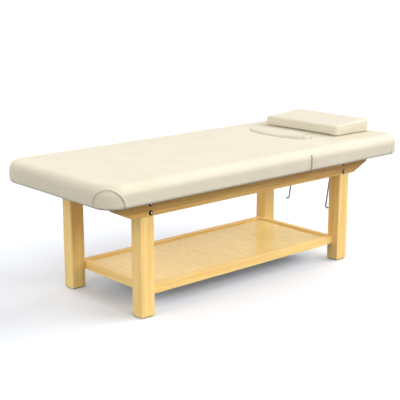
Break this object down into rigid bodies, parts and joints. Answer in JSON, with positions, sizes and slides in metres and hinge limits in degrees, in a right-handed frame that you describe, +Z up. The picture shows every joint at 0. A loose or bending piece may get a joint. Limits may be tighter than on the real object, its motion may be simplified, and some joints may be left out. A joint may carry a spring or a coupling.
{
  "type": "stationary massage table",
  "caption": "Wooden massage table with a padded top, a lifting head section on a wire prop, a plugged face hole, a loose pillow and a low storage tray.",
  "frame": {"origin": "centre of the underside of the foot pads' box, on the floor", "axes": "+X towards the head end, +Y towards the far side in the picture, +Z up"},
  "size_m": [1.904, 0.816, 0.6983],
  "materials": {
    "frame_wood": "clear satin lacquer",
    "figured_ply": "clear satin lacquer over a figured veneer",
    "board_ply": "bare plywood",
    "cream_cover": "cream leatherette over foam, soft sheen",
    "pillow_cover": "cream leatherette over foam, soft sheen",
    "pad_rubber": "matt",
    "bronze_bolt": "dark bronzed",
    "prop_steel": "zinc plated, dulled",
    "zinc_steel": "zinc plated"
  },
  "bodies": {
    "base": {"leg_foot_near": "frame_wood", "leg_foot_far": "frame_wood", "leg_head_near": "frame_wood", "leg_head_far": "frame_wood", "foot_pads": "pad_rubber", "rail_near": "frame_wood", "rail_far": "frame_wood", "cross_rail_foot": "frame_wood", "cross_rail_mid": "frame_wood", "cross_rail_head": "frame_wood", "frame_dowels": "frame_wood", "rail_bolts": "bronze_bolt", "insert_nuts": "zinc_steel", "tray_rail_near": "frame_wood", "tray_rail_far": "frame_wood", "tray_rail_foot": "frame_wood", "tray_rail_head": "frame_wood", "tray_panel": "figured_ply", "tray_batten_foot": "frame_wood", "tray_batten_head": "frame_wood", "tray_dowels": "frame_wood", "main_board": "board_ply", "main_cushion": "cream_cover", "fold_cushion": "cream_cover", "top_brackets": "zinc_steel", "bracket_screws": "zinc_steel", "hinge_leaves_fixed": "zinc_steel", "hinge_pins": "zinc_steel", "leaf_screws_fixed": "zinc_steel", "rack_near": "frame_wood", "rack_far": "frame_wood", "rack_screws": "zinc_steel"},
    "headrest": {"head_board": "board_ply", "head_cushion": "cream_cover", "hinge_leaves_moving": "zinc_steel", "leaf_screws_moving": "zinc_steel", "prop_clips": "zinc_steel", "clip_screws": "zinc_steel"},
    "prop": {"prop_wire": "prop_steel"},
    "plug": {"plug_base": "board_ply", "plug_cushion": "cream_cover"},
    "pillow": {"pillow": "pillow_cover"}
  },
  "joints": [
    {"name": "head_tilt", "type": "hinge", "parent": "base", "child": "headrest", "pos_m": [0.246, 0, 0.558], "axis": [0, -1, 0], "range_deg": [0, 35.5], "deforming": ["fold_cushion"]},
    {"name": "prop_swing", "type": "hinge", "parent": "headrest", "child": "prop", "pos_m": [0.723, 0, 0.535], "axis": [0, 1, 0], "range_deg": [-95, 37.9]},
    {"name": "plug_lift", "type": "slide", "parent": "headrest", "child": "plug", "axis": [0, 0, 1], "range_m": [0, 0.12]},
    {"name": "pillow_lift", "type": "slide", "parent": "headrest", "child": "pillow", "axis": [0, 0, 1], "range_m": [0, 0.15]}
  ]
}
